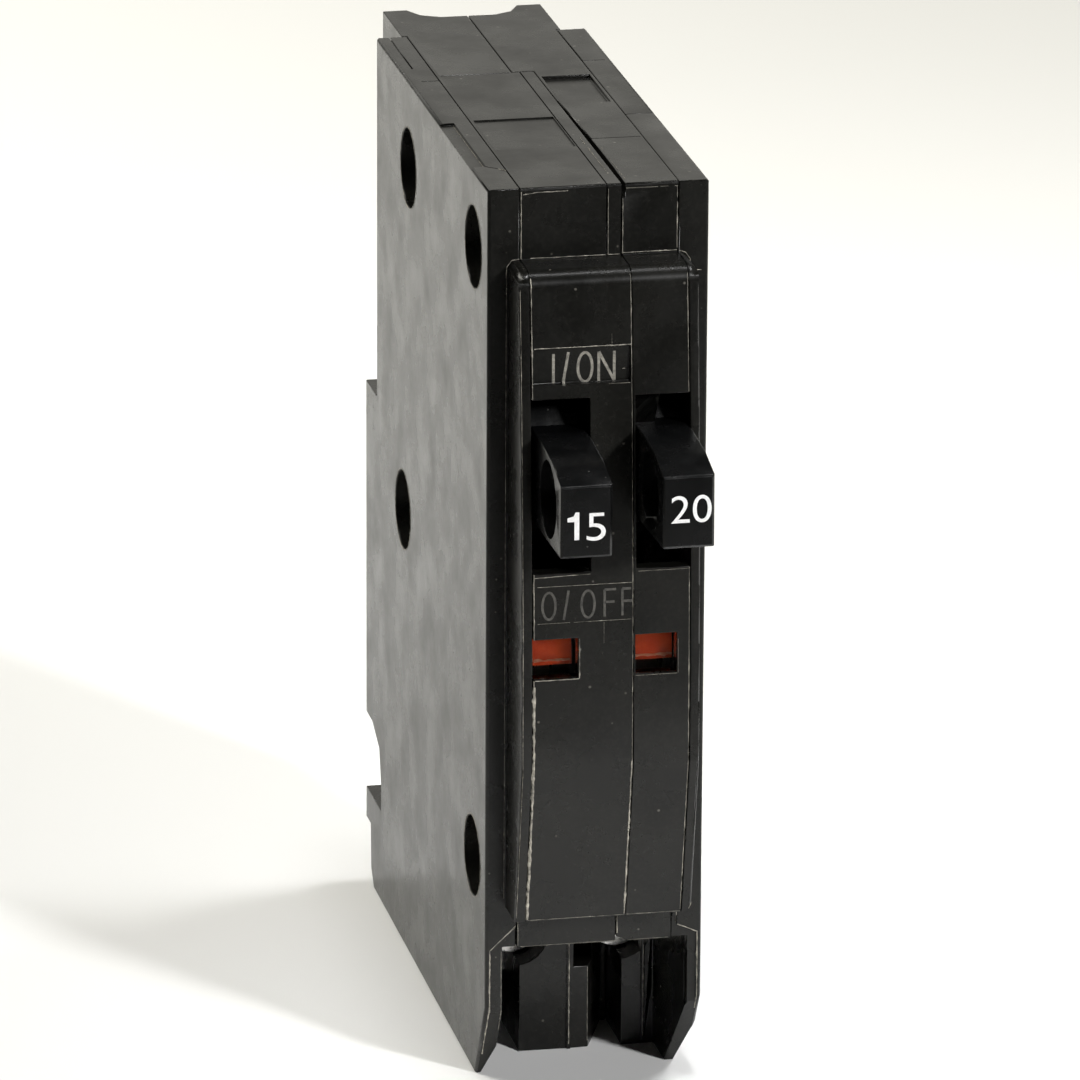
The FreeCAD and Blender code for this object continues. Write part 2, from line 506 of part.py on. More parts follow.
def make_line_jaw():
    body = new_body("line_jaw")
    leaf = [("1.1", "44.2"), ("1.1", "50"), ("0.5", "54.3"), ("1.5", "55.9"), ("2.1", "55.5"),
            ("1.25", "54.3"), ("1.9", "50"), ("1.9", "43")]
    pad(body, "Z", "@jaw_low_z", "@jaw_high_z", mirrored(leaf))
    pad(body, "Z", "@jaw_high_z - 0.5", "@bus_z", rectangle("-1.9", "43", "1.9", "44.2"))
    return body


def make_jaw_spring():
    body = new_body("jaw_spring")
    leaf = [("2.05", "42.85"), ("2.05", "51.6"), ("2.55", "51.6"), ("2.55", "42.3")]
    pad(body, "Z", "@jaw_low_z + 4", "@jaw_high_z - 4", mirrored(leaf))
    return body


def make_line_strap():
    body = new_body("line_strap")
    half = "1.5"
    outline = [
        ("@pole_a_x - " + half, "@contact_depth - 1.6"), ("@pole_a_x + " + half, "@contact_depth - 1.6"),
        ("@pole_a_x + " + half, "37.2"), ("@pole_b_x - " + half, "37.2"),
        ("@pole_b_x - " + half, "@contact_depth - 1.6"), ("@pole_b_x + " + half, "@contact_depth - 1.6"),
        ("@pole_b_x + " + half, "40"), ("1.9", "40"), ("1.9", "44.2"), ("-1.9", "44.2"), ("-1.9", "40"),
        ("@pole_a_x - " + half, "40"),
    ]
    pad(body, "Z", "@bus_z", "@bus_z + @bus_thick", outline)
    return body


# ---------------------------------------------------------------------------------------------
# One pole's pieces; side is "a" (left) or "b" (right)
# ---------------------------------------------------------------------------------------------
def make_handle(side):
    """A drum on two trunnions that closes the slot, with the lever that stands out of it."""
    middle = "@pole_%s_x" % side
    body = new_body("handle_" + side, middle, "@front_y + @handle_depth", "@handle_z",
                    tilt="@tilt_b" if side == "b" else None)
    half = "@handle_width / 2"
    pad(body, "X", "-" + half, half,
        [("3.0", "3.4"), ("0.7", "8.27"), ("0.7", "-8.27", "-8.3", "0"), ("3.0", "-3.4")])
    pad(body, "X", "-" + half, half,
        [("-7.5", "3.95"), ("-12.3", "4.05"), ("-16.9", "3.65"), ("-20.5", "2.65"), ("-20.5", "-3.45"),
         ("-12.5", "-3.65"), ("-7.5", "-3.6")])
    soften(body, "Chamfer", "0.22", lambda edge: on_plane(edge, "y", -20.5))
    cut_round(body, "X", "-3", "-@handle_width / 2 + 1.25", ("-15.4", "0.1", "3.25"))
    cut_round(body, "X", "@handle_width / 2 - 1.25", "3", ("-15.4", "0.1", "3.25"))
    left_end = "@trunnion_left_end" if side == "a" else "@trunnion_b_inner"
    right_end = "@trunnion_a_inner" if side == "a" else "@trunnion_right_end"
    pad_round(body, "X", "%s - %s" % (left_end, middle), "%s - %s" % (right_end, middle),
              ("0", "0", "@trunnion_radius"))
    return body


def make_contact_arm(side):
    """The blade that carries the moving contact, drawn closed and turned open about its pin."""
    body = new_body("contact_arm_" + side, "@pole_%s_x" % side, "@front_y + @arm_depth", "@arm_z",
                    tilt="-@arm_open")
    pad(body, "X", "-@arm_half", "@arm_half",
        [("-1.6", "1.6"), ("7.2", "15.5"), ("12.2", "15.5"), ("12.2", "14.2"), ("9.3", "14.2"), ("1.6", "0.6")])
    pad_round(body, "X", "-@arm_half - 0.2", "@arm_half + 0.2", ("0", "0", "2.2"))
    cut_round(body, "X", "-3", "3", ("0", "0", "@pin_radius + @running_gap"))
    return body


def make_moving_contact(side):
    body = new_body("moving_contact_" + side, "@pole_%s_x" % side, "@front_y + @arm_depth", "@arm_z",
                    tilt="-@arm_open")
    pad_round(body, "Z", "15.5", "16.6", ("0", "@contact_depth - @arm_depth", "@contact_radius - 0.1"))
    return body


def make_fixed_contact(side):
    body = new_body("fixed_contact_" + side, "@pole_%s_x" % side)
    pad_round(body, "Z", "@bus_z - @contact_thick", "@bus_z", ("0", "@contact_depth", "@contact_radius"))
    return body


def make_arc_liner(side):
    """Folded fibre sheet over the contacts: a roof and two cheeks."""
    body = new_body("arc_liner_" + side, "@pole_%s_x" % side)
    pad(body, "Y", "21.5", "30",
        [("-2.4", "68"), ("-2.4", "77.5"), ("2.4", "77.5"), ("2.4", "68"), ("2.05", "68"),
         ("2.05", "77.15"), ("-2.05", "77.15"), ("-2.05", "68")])
    return body


def make_trip_lever(side):
    """The latched lever, in its tripped place: hub, spring hook and latch nose."""
    body = new_body("trip_lever_" + side, "@pole_%s_x" % side, "@front_y + @lever_depth", "@lever_z")
    pad(body, "X", "-@lever_half", "@lever_half",
        [("0", "2.0"), ("-9.0", "-0.4"), ("-11.6", "-1.0"), ("-11.6", "-2.6"), ("-8.5", "-3.4"), ("0.6", "-1.9")])
    pad_round(body, "X", "-@lever_half - 0.5", "@lever_half + 0.5", ("0", "0", "2.0"))
    cut_round(body, "X", "-3", "3", ("0", "0", "@pin_radius + @running_gap"))
    cut_round(body, "X", "-3", "3", ("-9.6", "-2.0", "0.4"))
    return body


def make_trip_flag(side):
    """The red flag: a curved tab on a short arm that turns about its own pin."""
    body = new_body("trip_flag_" + side, "@pole_%s_x" % side, "@front_y + @flag_depth", "@flag_z")
    outer, inner = "@flag_radius", "(@flag_radius - 0.9)"
    low, high, middle = "0.7 deg", "18.5 deg", "9.6 deg"
    pad(body, "X", "-2.1", "1.15",
        [("-%s * cos(%s)" % (inner, high), "%s * sin(%s)" % (inner, high)),
         ("-%s * cos(%s)" % (outer, high), "%s * sin(%s)" % (outer, high)),
         ("-%s * cos(%s)" % (outer, low), "%s * sin(%s)" % (outer, low),
          "-%s * cos(%s)" % (outer, middle), "%s * sin(%s)" % (outer, middle)),
         ("-%s * cos(%s)" % (inner, low), "%s * sin(%s)" % (inner, low))])
    pad(body, "X", "-0.6", "0.6", [("-11.5", "1.2"), ("-11.4", "2.7"), ("0", "1.2"), ("0", "-0.8")])
    pad_round(body, "X", "-1.2", "1.2", ("0", "0", "1.4"))
    cut_round(body, "X", "-3", "3", ("0", "0", "@flag_pin_radius + @running_gap"))
    return body


def make_window_lens(side):
    """Clear pane that fills the window just behind the case's face."""
    body = new_body("window_lens_" + side)
    gap = "0.03"
    low = "@seam_left + @seam_gap" if side == "a" else "@window_b_left + " + gap
    high = ("@window_a_right" if side == "a" else "@window_b_right") + " - " + gap
    pad(body, "X", low, high, rectangle("@lens_front", "@window_low_z + " + gap,
                                        "@lens_back", "@window_high_z - " + gap))
    return body


def make_pivot_pins(side):
    """Four steel pins across the pole: for the arm, trip lever, armature and flag."""
    pins = doc.addObject("Part::Feature", "pivot_pins_" + side)
    pins.Label = "pivot_pins_" + side
    low = amount("@trunnion_left_end" if side == "a" else "@trunnion_b_inner")
    high = amount("@trunnion_a_inner" if side == "a" else "@trunnion_right_end")
    places = [("@arm_depth", "@arm_z", "@pin_radius"), ("@lever_depth", "@lever_z", "@pin_radius"),
              ("@armature_depth", "@armature_z", "@armature_pin"),
              ("@flag_depth", "@flag_z", "@flag_pin_radius")]
    pins.Shape = Part.makeCompound([
        Part.makeCylinder(amount(radius), high - low, V(low, amount(depth), amount(height)), V(1, 0, 0))
        for depth, height, radius in places])
    pins.Placement = FreeCAD.Placement(V(0, amount("@front_y"), 0), FreeCAD.Rotation())
    return pins


def make_armature(side):
    """The rocking iron plate in front of the bimetal, with its latch shelf."""
    body = new_body("armature_" + side, "@pole_%s_x" % side, "@front_y + @armature_depth", "@armature_z")
    pad(body, "X", "-@armature_half", "@armature_half", rectangle("-0.4", "-12.5", "0.4", "3.2"))
    pad(body, "X", "-@armature_half", "@armature_half", rectangle("-0.4", "2.4", "1.5", "3.2"))
    pad_round(body, "X", "-@armature_half", "@armature_half", ("0", "0", "1.0"))
    cut_round(body, "X", "-3", "3", ("0", "0", "@armature_pin + @running_gap"))
    return body


def make_magnet_yoke(side):
    """U-shaped iron round the bimetal."""
    body = new_body("magnet_yoke_" + side, "@pole_%s_x" % side)
    pad(body, "Z", "25.6", "35",
        [("-2.3", "20.0"), ("-1.8", "20.0"), ("-1.8", "23.2"), ("1.8", "23.2"), ("1.8", "20.0"),
         ("2.3", "20.0"), ("2.3", "24.3"), ("-2.3", "24.3")])
    return body


def make_bimetal(side):
    body = new_body("bimetal_" + side, "@pole_%s_x" % side)
    pad(body, "X", "-1.4", "1.4", rectangle("21.7", "17.8", "22.5", "38.2"))
    return body


def make_operating_spring(side):
    """Close-wound pull spring between the trip lever and the contact arm."""
    spring = doc.addObject("Part::Feature", "operating_spring_" + side)
    spring.Label = "operating_spring_" + side
    radius, wire, low, high, turns = 1.0, 0.22, 46.6, 60.6, 14
    coil = Part.makeHelix((high - low) / turns, high - low, radius)
    ring = Part.Wire(Part.makeCircle(wire, V(radius, 0, 0), V(0, 1, 0)))
    spring.Shape = coil.makePipeShell([ring], True, True)
    spring.Placement = FreeCAD.Placement(V(amount("@pole_%s_x" % side), amount("@front_y") + 21.2, low),
                                         FreeCAD.Rotation())
    return spring


def make_flexible_braid(side):
    """Copper braid from the arm's root to the top of the bimetal: two straight runs and a bend."""
    braid = doc.addObject("Part::Feature", "flexible_braid_" + side)
    braid.Label = "flexible_braid_" + side
    aside, radius = 1.95, 0.55
    start, corner, end = V(aside, 16.6, 55.2), V(aside, 18.2, 46), V(aside, 20.9, 36.8)
    bend = 3.0
    before = corner + (start - corner).normalize() * bend
    after = corner + (end - corner).normalize() * bend
    middle = (before + after) / 2
    through = middle + (corner - middle) * 0.5
    path = Part.Wire([Part.makeLine(start, before), Part.Arc(before, through, after).toShape(),
                      Part.makeLine(after, end)])
    ring = Part.Wire(Part.makeCircle(radius, start, before - start))
    braid.Shape = path.makePipeShell([ring], True, True)
    braid.Placement = FreeCAD.Placement(V(amount("@pole_%s_x" % side), amount("@front_y"), 0),
                                        FreeCAD.Rotation())
    return braid


def make_load_terminal(side):
    """Folded collar round the wire, tapped for the screw, with the strap up to the bimetal."""
    body = new_body("load_terminal_" + side, "@terminal_%s_x" % side)
    inner = "(@collar_half - 0.5)"
    pad(body, "Z", "@collar_low_z", "@collar_high_z",
        rectangle("-@collar_half", "@collar_front", "@collar_half", "24.0"))
    cut(body, "Z", "@collar_low_z - 1", "@collar_high_z + 1",
        rectangle("-" + inner, "@collar_front + 1.6", inner, "22.5"))
    pad(body, "Z", "@collar_high_z - 1", "24", rectangle("-1.2", "22.55", "1.2", "24.0"))
    cut_round(body, "Y", "@collar_front - 1", "@collar_front + 1.7",
              ("0", "@screw_z", "@screw_shank + @running_gap"))
    cut_round(body, "Y", "22", "25", ("0", "21", "0.95"))
    return body


def make_pressure_plate(side):
    """The pad on the screw's tip that presses the wire against the back of the collar."""
    body = new_body("pressure_plate_" + side, "@terminal_%s_x" % side)
    pad(body, "Y", "17.6", "19.4", rectangle("-1.65", "6.4", "1.65", "14.4"))
    return body


def make_terminal_screw(side):
    """Binding screw: slotted pan head, shank and turned tip."""
    body = new_body("terminal_screw_" + side, "@terminal_%s_x" % side, "@front_y + @screw_front", "@screw_z")
    pad_round(body, "Y", "0", "1.8", ("0", "0", "@screw_head"))
    soften(body, "Fillet", "0.15", lambda edge: on_plane(edge, "y", 0))
    pad_round(body, "Y", "1.7", "6.05", ("0", "0", "@screw_shank"))
    cut(body, "Y", "-1", "0.8", rectangle("-3", "-0.4", "3", "0.4"))
    return body


def make_calibration_screw(side):
    """Small brass screw in the strap that sets the bimetal."""
    body = new_body("calibration_screw_" + side, "@terminal_%s_x" % side, "@front_y", "21")
    pad_round(body, "Y", "22.6", "26.6", ("0", "0", "0.9"))
    pad_round(body, "Y", "26.5", "27.5", ("0", "0", "1.4"))
    cut(body, "Y", "27.0", "28", rectangle("-2", "-0.2", "2", "0.2"))
    return body


SHARED_MAKERS = [make_left_cover, make_pole_a_case, make_pole_b_case, make_right_cover, make_rivets,
                 make_line_jaw, make_jaw_spring, make_line_strap]
POLE_MAKERS = [make_handle, make_contact_arm, make_moving_contact, make_fixed_contact, make_arc_liner,
               make_trip_lever, make_trip_flag, make_window_lens, make_pivot_pins, make_armature,
               make_magnet_yoke, make_bimetal, make_operating_spring, make_flexible_braid,
               make_load_terminal, make_pressure_plate, make_terminal_screw, make_calibration_screw]


def main():
    for maker in SHARED_MAKERS:
        maker()
    for side in ("a", "b"):
        for maker in POLE_MAKERS:
            maker(side)
    doc.recompute()
    for thing in doc.Objects:
        if {"Invalid", "Error"} & set(thing.State):
            raise RuntimeError("%s did not build: %s" % (thing.Label, thing.State))
    pieces = [thing for thing in doc.Objects
              if thing.TypeId in ("PartDesign::Body", "Part::Feature")]
    os.makedirs("parts", exist_ok=True)
    for piece in pieces:
        if piece.Shape.isNull() or not piece.Shape.isValid():
            raise RuntimeError(piece.Label + " has no valid shape")
        piece.Shape.exportStep("parts/%s.step" % piece.Label)
        print("%-24s %2d solid(s) %9.2f mm3" % (piece.Label, len(piece.Shape.Solids), piece.Shape.Volume))


main()
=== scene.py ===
"""Looks for a two-pole plug-in circuit breaker: finished case shells, handles, wear, lettering,
materials, studio and camera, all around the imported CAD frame. Lengths are metres; MM turns
millimetres into them. x runs across the breaker, y from its front to its back, z upwards."""

import math

import bmesh
import bpy
from mathutils import Euler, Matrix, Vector, noise
from mathutils.bvhtree import BVHTree


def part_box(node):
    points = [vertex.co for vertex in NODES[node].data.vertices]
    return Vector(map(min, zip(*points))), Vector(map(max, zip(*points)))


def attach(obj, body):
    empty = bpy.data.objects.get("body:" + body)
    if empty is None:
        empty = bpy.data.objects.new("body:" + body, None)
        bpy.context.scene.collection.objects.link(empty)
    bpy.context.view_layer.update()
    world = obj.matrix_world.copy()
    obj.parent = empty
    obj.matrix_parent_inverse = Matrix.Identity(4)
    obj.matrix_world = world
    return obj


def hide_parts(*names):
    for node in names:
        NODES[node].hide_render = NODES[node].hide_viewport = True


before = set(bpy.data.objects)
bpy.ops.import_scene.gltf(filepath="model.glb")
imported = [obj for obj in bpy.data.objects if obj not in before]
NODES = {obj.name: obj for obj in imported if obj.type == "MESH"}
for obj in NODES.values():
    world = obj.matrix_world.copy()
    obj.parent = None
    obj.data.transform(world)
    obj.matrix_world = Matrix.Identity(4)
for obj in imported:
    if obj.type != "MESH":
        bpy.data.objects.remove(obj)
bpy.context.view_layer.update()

MM = 0.001
SHELLS = ["left_cover", "pole_a_case", "pole_b_case", "right_cover"]
POLES = ["a", "b"]

# ---------------------------------------------------------------- camera

CAMERA_PLACE = Vector((-155.12, -752.99, 288.17)) * MM
CAMERA_TURN = Euler([math.radians(v) for v in (72.215, -0.291, -11.522)])
CAMERA_LENS = 315.07
SENSOR_WIDTH = 36.0


def make_camera():
    data = bpy.data.cameras.new("camera")
    data.lens = CAMERA_LENS
    data.sensor_width = SENSOR_WIDTH
    data.clip_start = 0.05
    data.clip_end = 20.0
    camera = bpy.data.objects.new("camera", data)
    camera.location = CAMERA_PLACE
    camera.rotation_euler = CAMERA_TURN
    bpy.context.scene.collection.objects.link(camera)
    bpy.context.scene.camera = camera


# ---------------------------------------------------------------- node helpers


class Finish:
    """A Principled material in the making: its colour, roughness and bump come from noise nodes."""

    def __init__(self, name, **constants):
        self.material = bpy.data.materials.new(name)
        self.material.use_nodes = True
        tree = self.material.node_tree
        self.nodes = tree.nodes
        self.links = tree.links
        self.shader = self.nodes["Principled BSDF"]
        for socket, value in constants.items():
            self.shader.inputs[socket.replace("_", " ")].default_value = value
        self.place = self.nodes.new("ShaderNodeTexCoord").outputs["Object"]
        self.bump_end = None

    def stretched(self, x, y, z):
        """Object coordinates scaled by axis, so that noise runs in streaks."""
        mapping = self.nodes.new("ShaderNodeMapping")
        mapping.inputs["Scale"].default_value = (x, y, z)
        self.links.new(self.place, mapping.inputs["Vector"])
        return mapping.outputs["Vector"]

    def noise(self, feature, detail=4.0, roughness=0.5, where=None):
        """Noise from 0 to 1 with blotches about `feature` metres across."""
        node = self.nodes.new("ShaderNodeTexNoise")
        node.inputs["Scale"].default_value = 1.0 / feature
        node.inputs["Detail"].default_value = detail
        node.inputs["Roughness"].default_value = roughness
        self.links.new(where or self.place, node.inputs["Vector"])
        return node.outputs["Fac"]

    def specks(self, spacing, size):
        """1 inside small round specks scattered about `spacing` metres apart, 0 elsewhere."""
        node = self.nodes.new("ShaderNodeTexVoronoi")
        node.inputs["Scale"].default_value = 1.0 / spacing
        self.links.new(self.place, node.inputs["Vector"])
        return self.ranged(node.outputs["Distance"], size, size * 0.55, 0.0, 1.0)

    def ranged(self, value, low, high, to_low, to_high):
        node = self.nodes.new("ShaderNodeMapRange")
        node.inputs["From Min"].default_value = low
        node.inputs["From Max"].default_value = high
        node.inputs["To Min"].default_value = to_low
        node.inputs["To Max"].default_value = to_high
        self.links.new(value, node.inputs["Value"])
        return node.outputs["Result"]

    def times(self, first, second):
        node = self.nodes.new("ShaderNodeMath")
        node.operation = "MULTIPLY"
        self.links.new(first, node.inputs[0])
        self.links.new(second, node.inputs[1])
        return node.outputs["Value"]

    def mixed(self, factor, first, second):
        """A colour between two colours, each a tuple or a socket."""
        node = self.nodes.new("ShaderNodeMix")
        node.data_type = "RGBA"
        self.links.new(factor, node.inputs["Factor"])
        for value, socket in ((first, node.inputs[6]), (second, node.inputs[7])):
            if isinstance(value, tuple):
                socket.default_value = (*value, 1.0)
            else:
                self.links.new(value, socket)
        return node.outputs[2]

    def colour(self, socket):
        self.links.new(socket, self.shader.inputs["Base Color"])

    def rough(self, socket):
        self.links.new(socket, self.shader.inputs["Roughness"])

    def bump(self, height, depth, strength=1.0):
        """Adds relief of about `depth` metres from a height socket, on top of earlier relief."""
        node = self.nodes.new("ShaderNodeBump")
        node.inputs["Distance"].default_value = depth
        node.inputs["Strength"].default_value = strength
        self.links.new(height, node.inputs["Height"])
        if self.bump_end:
            self.links.new(self.bump_end, node.inputs["Normal"])
        self.bump_end = node.outputs["Normal"]
        self.links.new(self.bump_end, self.shader.inputs["Normal"])


# ---------------------------------------------------------------- materials


def moulded_case():
    """Semi-gloss black thermoset: cloudy handling marks, dust specks, fine mould texture."""
    f = Finish("case_plastic", IOR=1.36)
    clouds = f.ranged(f.noise(7 * MM, 6.0, 0.6), 0.35, 0.7, 0.0, 1.0)
    base = f.mixed(clouds, (0.0028, 0.0028, 0.0023), (0.0072, 0.0070, 0.0058))
    grain = f.ranged(f.noise(0.35 * MM, 3.0, 0.6), 0.45, 0.75, 0.0, 0.5)
    base = f.mixed(grain, base, (0.015, 0.0145, 0.0125))
    dust = f.times(f.specks(1.9 * MM, 0.075), f.noise(9 * MM))
    f.colour(f.mixed(dust, base, (0.16, 0.15, 0.13)))
    f.rough(f.ranged(f.noise(5 * MM, 5.0, 0.6), 0.3, 0.7, 0.22, 0.34))
    streaks = f.noise(14 * MM, 2.0, 0.4, f.stretched(1.0, 2.2, 0.25))
    f.bump(streaks, 0.03 * MM, 0.25)
    f.bump(f.noise(0.28 * MM, 2.0), 0.006 * MM, 0.8)
    return f.material


def moulded_handle():
    """Smoother, slightly blue-black plastic with finger-polished patches."""
    f = Finish("handle_plastic", IOR=1.36)
    clouds = f.ranged(f.noise(3 * MM, 5.0, 0.6), 0.35, 0.7, 0.0, 1.0)
    base = f.mixed(clouds, (0.0018, 0.0019, 0.0020), (0.0040, 0.0042, 0.0044))
    dust = f.times(f.specks(1.3 * MM, 0.06), f.noise(5 * MM))
    f.colour(f.mixed(dust, base, (0.13, 0.13, 0.12)))
    f.rough(f.ranged(f.noise(2 * MM, 5.0, 0.6), 0.3, 0.7, 0.18, 0.30))
    f.bump(f.noise(0.22 * MM, 3.0), 0.006 * MM, 0.7)
    return f.material


def flash_plastic():
    """Pale beige, dry and uneven: scuffed moulding flash along the parting lines, and painted
    highlights along some nose and top edges.
    """
    f = Finish("flash_plastic")
    patches = f.ranged(f.noise(0.8 * MM, 4.0, 0.7), 0.35, 0.65, 0.0, 1.0)
    f.colour(f.mixed(patches, (0.085, 0.080, 0.068), (0.47, 0.44, 0.37)))
    f.rough(f.ranged(f.noise(0.5 * MM), 0.3, 0.7, 0.5, 0.8))
    f.bump(f.noise(0.12 * MM, 4.0), 0.02 * MM)
    return f.material


def worn_letter(name, brightness):
    """Grey rubbed lettering, partly worn back to the black plastic."""
    f = Finish(name)
    patches = f.ranged(f.noise(0.5 * MM, 5.0, 0.75), 0.32, 0.62, 0.0, 1.0)
    worn, fresh = ([v * brightness for v in c] for c in ((0.075, 0.072, 0.064), (0.36, 0.34, 0.29)))
    f.colour(f.mixed(patches, tuple(worn), tuple(fresh)))
    f.rough(f.ranged(f.noise(0.4 * MM), 0.3, 0.7, 0.45, 0.7))
    f.bump(f.noise(0.1 * MM, 4.0), 0.015 * MM)
    return f.material


def white_ink():
    """Opaque white number ink with slight mottling at its edges."""
    f = Finish("white_ink")
    patches = f.ranged(f.noise(0.25 * MM, 4.0, 0.6), 0.3, 0.7, 0.0, 1.0)
    f.colour(f.mixed(patches, (0.70, 0.70, 0.69), (0.90, 0.90, 0.89)))
    f.rough(f.ranged(f.noise(0.3 * MM), 0.3, 0.7, 0.35, 0.55))
    f.bump(f.noise(0.1 * MM, 3.0), 0.008 * MM)
    return f.material


METAL_MOTTLE = 1.2 * MM


def bare_metal(name, bright, dull, rough_low, rough_high, metallic):
    """A plated or tarnished metal whose tarnish, gloss and fine relief vary together."""
    f = Finish(name, Metallic=metallic)
    spread = f.noise(METAL_MOTTLE, 6.0, 0.65)
    tarnish = f.ranged(spread, 0.35, 0.68, 0.0, 1.0)
    f.colour(f.mixed(tarnish, bright, dull))
    f.rough(f.ranged(spread, 0.3, 0.7, rough_low, rough_high))
    f.bump(f.noise(METAL_MOTTLE * 0.25, 4.0, 0.6), 0.012 * MM)
    return f.material


def flag_plastic():
    """Bright orange-red indicator plastic, a little paler where it is rubbed."""
    f = Finish("flag_plastic", IOR=1.5)
    patches = f.ranged(f.noise(1.4 * MM, 5.0, 0.65), 0.35, 0.68, 0.0, 1.0)
    f.colour(f.mixed(patches, (0.62, 0.050, 0.004), (0.80, 0.095, 0.010)))
    f.rough(f.ranged(f.noise(0.7 * MM), 0.3, 0.7, 0.3, 0.5))
    f.bump(f.noise(0.3 * MM, 3.0), 0.01 * MM)
    return f.material


def rubbed_flag():
    """Painted highlight: a pale pinkish orange band for the light that the flag's curved lower edge
    catches.
    """
    f = Finish("rubbed_flag", IOR=1.5)
    patches = f.ranged(f.noise(0.5 * MM, 4.0, 0.6), 0.3, 0.7, 0.0, 1.0)
    f.colour(f.mixed(patches, (0.72, 0.22, 0.12), (0.80, 0.40, 0.28)))
    f.rough(f.ranged(f.noise(0.4 * MM), 0.3, 0.7, 0.35, 0.55))
    f.bump(f.noise(0.2 * MM, 3.0), 0.01 * MM)
    return f.material


def clear_lens():
    """Clear moulded window, faintly smoky, with fine surface marks."""
    f = Finish("clear_lens", IOR=1.08, Transmission_Weight=1.0)
    haze = f.ranged(f.noise(0.9 * MM, 5.0, 0.6), 0.45, 0.8, 0.0, 1.0)
    f.colour(f.mixed(haze, (0.93, 0.86, 0.80), (0.80, 0.70, 0.62)))
    f.rough(f.ranged(f.noise(0.6 * MM), 0.35, 0.75, 0.02, 0.08))
    f.bump(f.noise(0.8 * MM, 3.0), 0.012 * MM, 0.6)
    return f.material


def vulcanised_fibre():
    """Grey-green arc liner board with a felted surface."""
    f = Finish("vulcanised_fibre")
    fibres = f.noise(0.6 * MM, 6.0, 0.7, f.stretched(1.0, 3.0, 0.4))
    f.colour(f.mixed(f.ranged(fibres, 0.3, 0.7, 0.0, 1.0), (0.16, 0.15, 0.13), (0.30, 0.28, 0.23)))
    f.rough(f.ranged(f.noise(0.5 * MM), 0.3, 0.7, 0.65, 0.9))
    f.bump(fibres, 0.03 * MM)
    return f.material


METALS = {
    # slot: (name, bright, dull, lowest roughness, highest roughness)
    "rivet": ("rivet_steel", (0.56, 0.55, 0.52), (0.30, 0.29, 0.27), 0.25, 0.45),
    "jaw_copper": ("tinned_copper", (0.74, 0.70, 0.66), (0.42, 0.33, 0.27), 0.22, 0.42),
    "copper": ("bare_copper", (0.80, 0.37, 0.22), (0.42, 0.19, 0.11), 0.25, 0.48),
    "silver": ("contact_silver", (0.90, 0.89, 0.86), (0.60, 0.58, 0.53), 0.2, 0.4),
    "spring_steel": ("spring_steel", (0.50, 0.50, 0.51), (0.26, 0.25, 0.25), 0.2, 0.38),
    "steel": ("plated_steel", (0.62, 0.62, 0.60), (0.40, 0.39, 0.36), 0.28, 0.5),
    "screw": ("nickel_screw_painted_glint", (0.96, 0.95, 0.93), (0.80, 0.78, 0.73), 0.2, 0.4),
    "terminal": ("dulled_terminal", (0.26, 0.25, 0.24), (0.13, 0.125, 0.12), 0.34, 0.55),
    "bimetal": ("bimetal_strip", (0.60, 0.52, 0.40), (0.34, 0.29, 0.24), 0.3, 0.5),
    "brass": ("brass_stock", (0.80, 0.62, 0.30), (0.46, 0.34, 0.16), 0.22, 0.42),
}
# The screw is only partly metallic, so its near-white colour also shows as diffuse white: a painted
# glint that makes the screw heads under the lip read bright.
SCREW_GLINT_METALLIC = 0.6


def make_finishes():
    """One material for each of the record's slots."""
    finishes = {
        "case": moulded_case(),
        "handle": moulded_handle(),
        "flag": flag_plastic(),
        "lens": clear_lens(),
        "fibre": vulcanised_fibre(),
    }
    for slot, values in METALS.items():
        finishes[slot] = bare_metal(*values, metallic=SCREW_GLINT_METALLIC if slot == "screw" else 1.0)
    return finishes


# ---------------------------------------------------------------- studio

FLOOR_SIZE = 6.0
KEY_POWER = 0.18
WARM_WHITE = (1.0, 0.98, 0.90)
WORLD_FRONT = 0.02
WORLD_BACK = 0.66


WHITE = (1.0, 1.0, 1.0)
SOFTBOXES = [
    # name, place, aim, size, power, spread, tint
    ("overhead", (0.02, -0.10, 0.9), (0.0, -0.05, 0.0), (0.2, 0.12), 0.045, 15, WHITE),
    ("key_right", (0.47, -0.78, 0.44), (0, 0, 0.052), (0.10, 0.10), KEY_POWER, 24, WHITE),
    ("floor_wash", (-0.55, 0.40, 0.8), (0.0, 0.34, 0), (0.5, 0.5), 1.95, 62, WARM_WHITE),
    ("floor_right", (0.55, 0.15, 0.7), (0.16, 0.04, 0), (0.3, 0.3), 0.28, 30, WHITE),
]


def floor_finish():
    """Pale, matt, very slightly mottled sweep."""
    f = Finish("pale_floor")
    f.colour(f.mixed(f.noise(0.25, 4.0), (0.86, 0.86, 0.855), (0.90, 0.90, 0.895)))
    f.rough(f.ranged(f.noise(0.1), 0.3, 0.7, 0.75, 0.9))
    return f.material


def make_floor():
    mesh = bpy.data.meshes.new("studio_floor")
    half = FLOOR_SIZE / 2
    corners = [(-half, -half, 0), (half, -half, 0), (half, half, 0), (-half, half, 0)]
    mesh.from_pydata(corners, [], [(0, 1, 2, 3)])
    floor = bpy.data.objects.new("studio_floor", mesh)
    floor.data.materials.append(floor_finish())
    bpy.context.scene.collection.objects.link(floor)


def softbox(name, place, aim, size, power, spread, tint):
    """A rectangular light at `place`, facing `aim`, whose beam opens `spread` degrees."""
    data = bpy.data.lights.new(name, "AREA")
    data.color = tint
    data.shape = "RECTANGLE"
    data.size, data.size_y = size
    data.energy = power
    data.spread = math.radians(spread)
    light = bpy.data.objects.new(name, data)
    light.location = place
    facing = Vector(aim) - Vector(place)
    light.rotation_euler = facing.to_track_quat("-Z", "Y").to_euler()
    bpy.context.scene.collection.objects.link(light)


